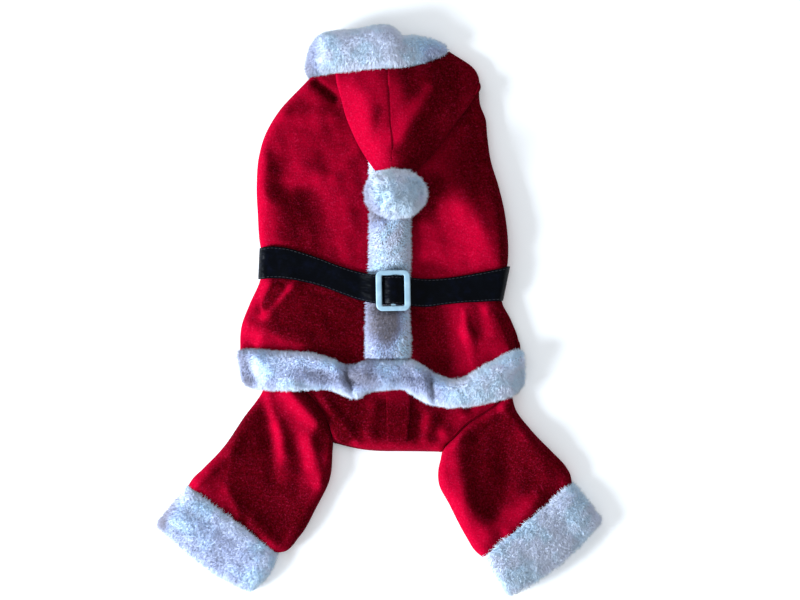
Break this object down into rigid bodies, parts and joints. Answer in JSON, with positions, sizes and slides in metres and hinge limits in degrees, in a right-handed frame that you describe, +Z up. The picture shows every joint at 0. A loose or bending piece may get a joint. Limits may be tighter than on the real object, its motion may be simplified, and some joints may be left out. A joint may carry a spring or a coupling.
{
  "type": "dog santa suit",
  "caption": "Small dog's Santa suit lying flat, back up: red fleece jacket with fur trimmed hood and skirt, black belt, and trousers with fur cuffs for the hind legs",
  "frame": {"origin": "middle of the suit's outline, on the surface that it lies on", "axes": "+Y to the head, +Z up, the back of the suit, -X to the wearer's left"},
  "size_m": [0.3794, 0.4905, 0.0572],
  "materials": {
    "fleece": "saturated red microfleece, dull, with a fine nap",
    "fur": "bluish white plush fur, short pile",
    "patent": "black imitation patent leather, glossy",
    "plastic": "pale white plastic, half gloss"
  },
  "bodies": {
    "root": {"back_panel": "fleece", "belly_panel": "fleece", "throat_panel": "fleece", "seat_panel": "fleece", "seat_lap": "fleece", "leg_left_back": "fleece", "leg_left_front": "fleece", "leg_right_back": "fleece", "leg_right_front": "fleece", "hood_left": "fleece", "hood_right": "fleece", "hood_under": "fleece", "brim_upper": "fur", "brim_under": "fur", "placket": "fur", "hem_trim": "fur", "cuff_left": "fur", "cuff_right": "fur", "pompom": "fur", "belt": "patent", "buckle": "plastic"}
  },
  "joints": []
}
